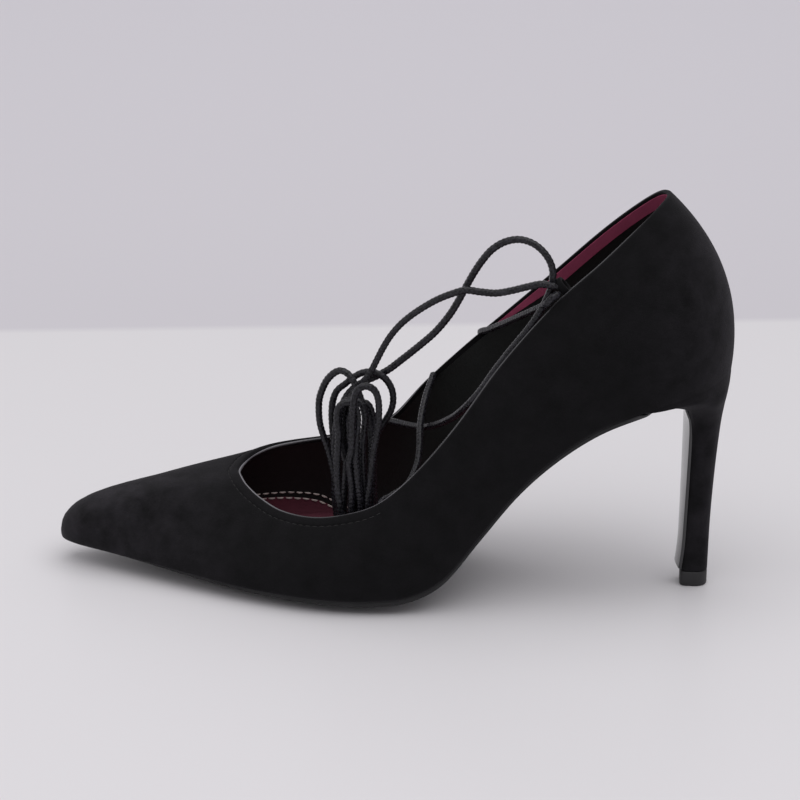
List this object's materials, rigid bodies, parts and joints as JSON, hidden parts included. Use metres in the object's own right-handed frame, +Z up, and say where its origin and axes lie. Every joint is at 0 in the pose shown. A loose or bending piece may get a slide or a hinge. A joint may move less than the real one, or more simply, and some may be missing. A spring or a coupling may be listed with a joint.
{
  "type": "lace-up stiletto pump",
  "caption": "Left pointed-toe pump in black suede on a slim covered heel, closed by a round waxed cord that crosses the instep and is wound into a bunch of loops.",
  "frame": {"origin": "middle of the base of the shoe's bounding box without the free cord, on the floor", "axes": "+X from toe to heel, -Y to the outer side of the foot, +Z up"},
  "size_m": [0.2336, 0.0796, 0.1403],
  "materials": {
    "suede": "napped suede, matt black",
    "sole_leather": "smooth black, glossy",
    "sock": "smooth burgundy, satin",
    "rubber": "matt black",
    "cord": "waxed braid, charcoal black"
  },
  "bodies": {
    "root": {"upper": "suede", "outsole": "sole_leather", "insole": "sock", "heel": "suede", "top_piece": "rubber", "keeper": "suede", "lace_crossing": "cord", "lace_end_outer": "cord", "lace_end_inner": "cord", "lace_bunch": "cord"}
  },
  "joints": []
}
